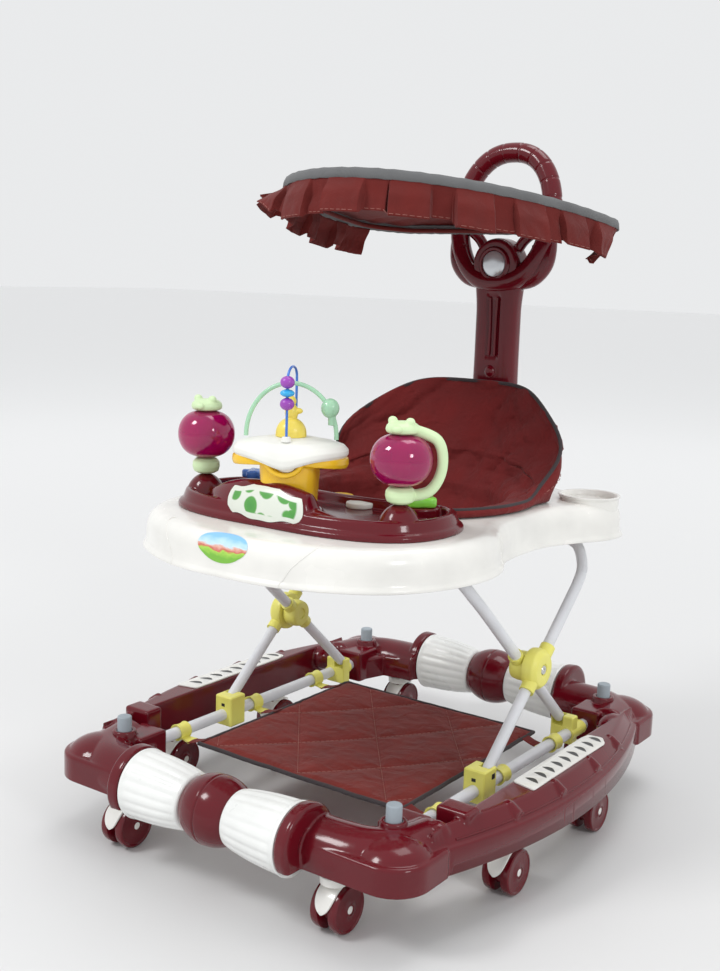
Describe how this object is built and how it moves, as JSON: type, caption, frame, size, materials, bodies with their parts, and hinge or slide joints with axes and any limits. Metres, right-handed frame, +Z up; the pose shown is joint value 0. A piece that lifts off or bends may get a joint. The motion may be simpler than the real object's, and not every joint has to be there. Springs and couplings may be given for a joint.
{
  "type": "baby walker",
  "caption": "Folding baby walker: bumper base on twin-wheel casters, crossing leg tubes, toy tray with cup holders, fabric seat, push handle with ring grip and tilting canopy.",
  "frame": {"origin": "on the floor, under the middle of the base", "axes": "+X to the right seen from the front, +Y to the back where the push handle stands, +Z up"},
  "size_m": [0.64, 0.747, 0.9232],
  "materials": {
    "blue_plastic": "gloss moulded, blue",
    "clear_green_plastic": "clear gloss, pale green",
    "grey_rubber": "matt grey",
    "grey_tube": "satin powder coat, light grey",
    "lemon_plastic": "satin moulded, lemon yellow",
    "lime_plastic": "gloss moulded, lime",
    "magenta_plastic": "clear gloss, magenta",
    "maroon_fabric": "matt woven polyester",
    "maroon_plastic": "gloss moulded, deep maroon",
    "mint_plastic": "satin moulded, mint",
    "purple_plastic": "gloss moulded, purple",
    "red_plastic": "gloss moulded, red",
    "silver_plastic": "pearl silver",
    "white_plastic": "gloss moulded, warm white",
    "yellow_plastic": "gloss moulded, orange yellow"
  },
  "bodies": {
    "base": {"left_side_moulding": "maroon_plastic", "right_side_moulding": "maroon_plastic", "front_roller_barrels": "white_plastic", "rear_roller_barrels": "white_plastic", "front_roller_ball": "maroon_plastic", "rear_roller_ball": "maroon_plastic", "left_side_tube": "grey_tube", "right_side_tube": "grey_tube", "left_rear_foot": "lemon_plastic", "right_rear_foot": "lemon_plastic", "foot_mat": "maroon_fabric"},
    "fixed_legs": {"leg_frame_fixed": "grey_tube", "left_hub_inner": "lemon_plastic", "right_hub_inner": "lemon_plastic"},
    "sliding_legs": {"leg_frame_sliding": "grey_tube", "left_hub_outer": "lemon_plastic", "right_hub_outer": "lemon_plastic"},
    "sliders": {"left_slider": "lemon_plastic", "right_slider": "lemon_plastic"},
    "tray": {"tray_shell": "white_plastic", "play_tray": "maroon_plastic", "push_handle": "maroon_plastic", "handle_badge": "silver_plastic", "seat": "maroon_fabric", "tower_house": "yellow_plastic", "tower_icing": "white_plastic", "rattle_arch": "clear_green_plastic", "bead_loop": "blue_plastic", "finger_knob": "yellow_plastic", "clicker_base": "lime_plastic", "left_toy_frame": "mint_plastic", "right_toy_frame": "mint_plastic"},
    "canopy": {"canopy": "maroon_fabric", "canopy_hoop": "grey_tube"},
    "left_toy_ball": {"left_toy_ball": "magenta_plastic"},
    "right_toy_ball": {"right_toy_ball": "magenta_plastic"},
    "beads": {"bead_stack": "purple_plastic"},
    "flower": {"clicker_flower": "red_plastic"},
    "spinner": {"blue_spinner": "blue_plastic"},
    "front_left_stopper": {"front_left_stopper": "grey_rubber"},
    "front_right_stopper": {"front_right_stopper": "grey_rubber"},
    "rear_left_stopper": {"rear_left_stopper": "grey_rubber"},
    "rear_right_stopper": {"rear_right_stopper": "grey_rubber"},
    "front_left_swivel": {"front_left_caster_housing": "white_plastic"},
    "front_left_wheels": {"front_left_wheels": "maroon_plastic"},
    "front_right_swivel": {"front_right_caster_housing": "white_plastic"},
    "front_right_wheels": {"front_right_wheels": "maroon_plastic"},
    "rear_left_swivel": {"rear_left_caster_housing": "white_plastic"},
    "rear_left_wheels": {"rear_left_wheels": "maroon_plastic"},
    "rear_right_swivel": {"rear_right_caster_housing": "white_plastic"},
    "rear_right_wheels": {"rear_right_wheels": "maroon_plastic"},
    "left_front_swivel": {"left_front_caster_housing": "white_plastic"},
    "left_front_wheels": {"left_front_wheels": "maroon_plastic"},
    "right_front_swivel": {"right_front_caster_housing": "white_plastic"},
    "right_front_wheels": {"right_front_wheels": "maroon_plastic"},
    "left_rear_swivel": {"left_rear_caster_housing": "white_plastic"},
    "left_rear_wheels": {"left_rear_wheels": "maroon_plastic"},
    "right_rear_swivel": {"right_rear_caster_housing": "white_plastic"},
    "right_rear_wheels": {"right_rear_wheels": "maroon_plastic"}
  },
  "joints": [
    {"name": "fold", "type": "hinge", "parent": "base", "child": "fixed_legs", "pos_m": [0, 0.172, 0.122], "axis": [1, 0, 0], "range_deg": [-3.4, 22.9]},
    {"name": "leg_cross", "type": "hinge", "parent": "fixed_legs", "child": "sliding_legs", "pos_m": [0, 0.055, 0.224], "axis": [1, 0, 0], "range_deg": [-46, 7]},
    {"name": "slider_pivot", "type": "hinge", "parent": "sliding_legs", "child": "sliders", "pos_m": [0, -0.062, 0.122], "axis": [1, 0, 0], "range_deg": [-3.5, 23]},
    {"name": "tray_pivot", "type": "hinge", "parent": "sliding_legs", "child": "tray", "pos_m": [0, 0.203, 0.372], "axis": [1, 0, 0], "range_deg": [-3.5, 23]},
    {"name": "canopy_tilt", "type": "hinge", "parent": "tray", "child": "canopy", "pos_m": [0, 0.284, 0.797], "axis": [1, 0, 0], "range_deg": [-40, 10]},
    {"name": "left_toy_ball_spin", "type": "hinge", "parent": "tray", "child": "left_toy_ball", "pos_m": [-0.15, -0.19, 0.5149], "axis": [0, 0, 1], "continuous": true},
    {"name": "right_toy_ball_spin", "type": "hinge", "parent": "tray", "child": "right_toy_ball", "pos_m": [0.15, -0.19, 0.5149], "axis": [0, 0, 1], "continuous": true},
    {"name": "bead_slide", "type": "slide", "parent": "tray", "child": "beads", "axis": [0, 0, 1], "range_m": [-0.022, 0]},
    {"name": "flower_spin", "type": "hinge", "parent": "tray", "child": "flower", "pos_m": [0.126, -0.11, 0.4633], "axis": [0, 0, 1], "continuous": true},
    {"name": "spinner_spin", "type": "hinge", "parent": "tray", "child": "spinner", "pos_m": [-0.132, -0.11, 0.4508], "axis": [0, 0, 1], "continuous": true},
    {"name": "front_left_stopper_press", "type": "slide", "parent": "base", "child": "front_left_stopper", "axis": [0, 0, 1], "range_m": [-0.022, 0]},
    {"name": "front_right_stopper_press", "type": "slide", "parent": "base", "child": "front_right_stopper", "axis": [0, 0, 1], "range_m": [-0.022, 0]},
    {"name": "rear_left_stopper_press", "type": "slide", "parent": "base", "child": "rear_left_stopper", "axis": [0, 0, 1], "range_m": [-0.022, 0]},
    {"name": "rear_right_stopper_press", "type": "slide", "parent": "base", "child": "rear_right_stopper", "axis": [0, 0, 1], "range_m": [-0.022, 0]},
    {"name": "front_left_swivel_turn", "type": "hinge", "parent": "base", "child": "front_left_swivel", "pos_m": [-0.167, -0.321, 0.07], "axis": [0, 0, 1], "continuous": true},
    {"name": "front_left_wheel_roll", "type": "hinge", "parent": "front_left_swivel", "child": "front_left_wheels", "pos_m": [-0.167, -0.311, 0.0285], "axis": [1, 0, 0], "continuous": true},
    {"name": "front_right_swivel_turn", "type": "hinge", "parent": "base", "child": "front_right_swivel", "pos_m": [0.167, -0.321, 0.07], "axis": [0, 0, 1], "continuous": true},
    {"name": "front_right_wheel_roll", "type": "hinge", "parent": "front_right_swivel", "child": "front_right_wheels", "pos_m": [0.167, -0.311, 0.0285], "axis": [1, 0, 0], "continuous": true},
    {"name": "rear_left_swivel_turn", "type": "hinge", "parent": "base", "child": "rear_left_swivel", "pos_m": [-0.167, 0.301, 0.07], "axis": [0, 0, 1], "continuous": true},
    {"name": "rear_left_wheel_roll", "type": "hinge", "parent": "rear_left_swivel", "child": "rear_left_wheels", "pos_m": [-0.167, 0.311, 0.0285], "axis": [1, 0, 0], "continuous": true},
    {"name": "rear_right_swivel_turn", "type": "hinge", "parent": "base", "child": "rear_right_swivel", "pos_m": [0.167, 0.301, 0.07], "axis": [0, 0, 1], "continuous": true},
    {"name": "rear_right_wheel_roll", "type": "hinge", "parent": "rear_right_swivel", "child": "rear_right_wheels", "pos_m": [0.167, 0.311, 0.0285], "axis": [1, 0, 0], "continuous": true},
    {"name": "left_front_swivel_turn", "type": "hinge", "parent": "base", "child": "left_front_swivel", "pos_m": [-0.271, -0.122, 0.07], "axis": [0, 0, 1], "continuous": true},
    {"name": "left_front_wheel_roll", "type": "hinge", "parent": "left_front_swivel", "child": "left_front_wheels", "pos_m": [-0.271, -0.112, 0.0285], "axis": [1, 0, 0], "continuous": true},
    {"name": "right_front_swivel_turn", "type": "hinge", "parent": "base", "child": "right_front_swivel", "pos_m": [0.271, -0.122, 0.07], "axis": [0, 0, 1], "continuous": true},
    {"name": "right_front_wheel_roll", "type": "hinge", "parent": "right_front_swivel", "child": "right_front_wheels", "pos_m": [0.271, -0.112, 0.0285], "axis": [1, 0, 0], "continuous": true},
    {"name": "left_rear_swivel_turn", "type": "hinge", "parent": "base", "child": "left_rear_swivel", "pos_m": [-0.271, 0.102, 0.07], "axis": [0, 0, 1], "continuous": true},
    {"name": "left_rear_wheel_roll", "type": "hinge", "parent": "left_rear_swivel", "child": "left_rear_wheels", "pos_m": [-0.271, 0.112, 0.0285], "axis": [1, 0, 0], "continuous": true},
    {"name": "right_rear_swivel_turn", "type": "hinge", "parent": "base", "child": "right_rear_swivel", "pos_m": [0.271, 0.102, 0.07], "axis": [0, 0, 1], "continuous": true},
    {"name": "right_rear_wheel_roll", "type": "hinge", "parent": "right_rear_swivel", "child": "right_rear_wheels", "pos_m": [0.271, 0.112, 0.0285], "axis": [1, 0, 0], "continuous": true}
  ],
  "couplings": [
    {"joint": "leg_cross", "follows": "fold", "ratio": -2},
    {"joint": "slider_pivot", "follows": "fold", "ratio": 1},
    {"joint": "tray_pivot", "follows": "fold", "ratio": 1}
  ]
}
